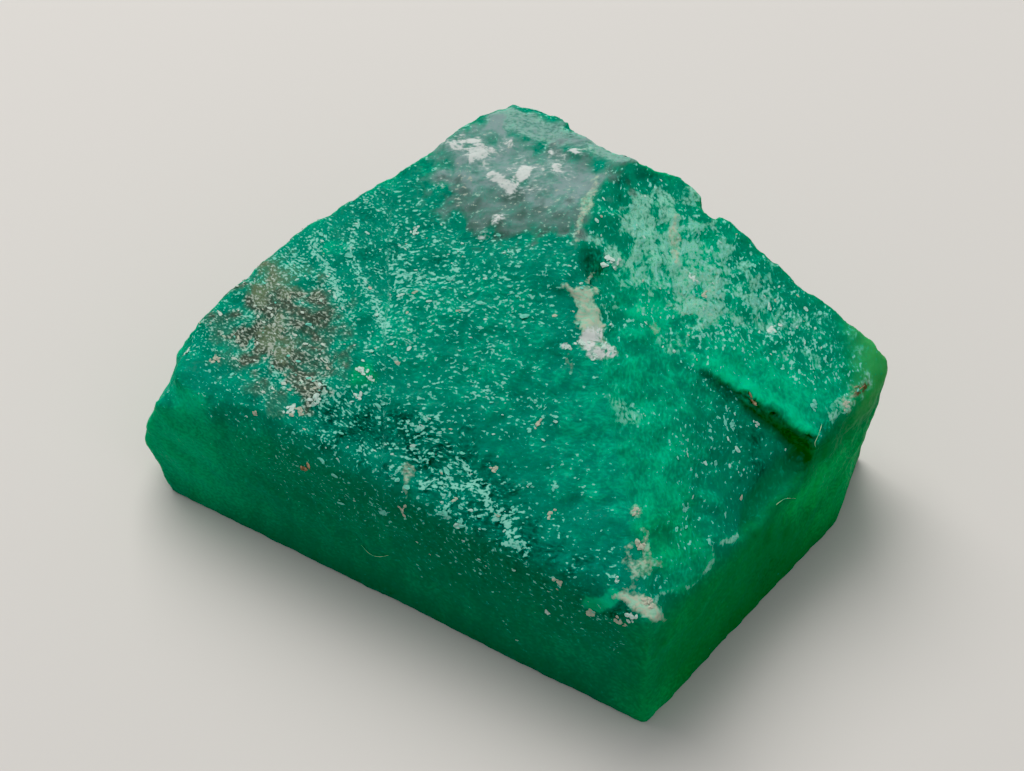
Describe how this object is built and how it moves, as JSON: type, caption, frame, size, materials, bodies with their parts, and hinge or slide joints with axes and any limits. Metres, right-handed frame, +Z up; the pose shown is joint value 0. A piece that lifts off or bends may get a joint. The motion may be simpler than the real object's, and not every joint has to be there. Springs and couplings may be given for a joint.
{
  "type": "raw emerald crystal",
  "caption": "Rough, unpolished lump of translucent green beryl with upright broken walls, a low many-sided top, a broken step and a flat underside it rests on.",
  "frame": {"origin": "middle of the flat underside's bounding box, on the surface the stone rests on", "axes": "+X to the right along the longest side, +Y to the back, +Z up out of the flat underside"},
  "size_m": [0.0206, 0.017, 0.0079],
  "materials": {
    "beryl": "translucent deep green, rough unpolished skin with pale mineral dust",
    "rock_dust": "matt pale grains of host rock stuck in the skin",
    "lint": "thin pale fibres caught on the skin"
  },
  "bodies": {
    "root": {"emerald_crystal": "beryl"}
  },
  "joints": []
}
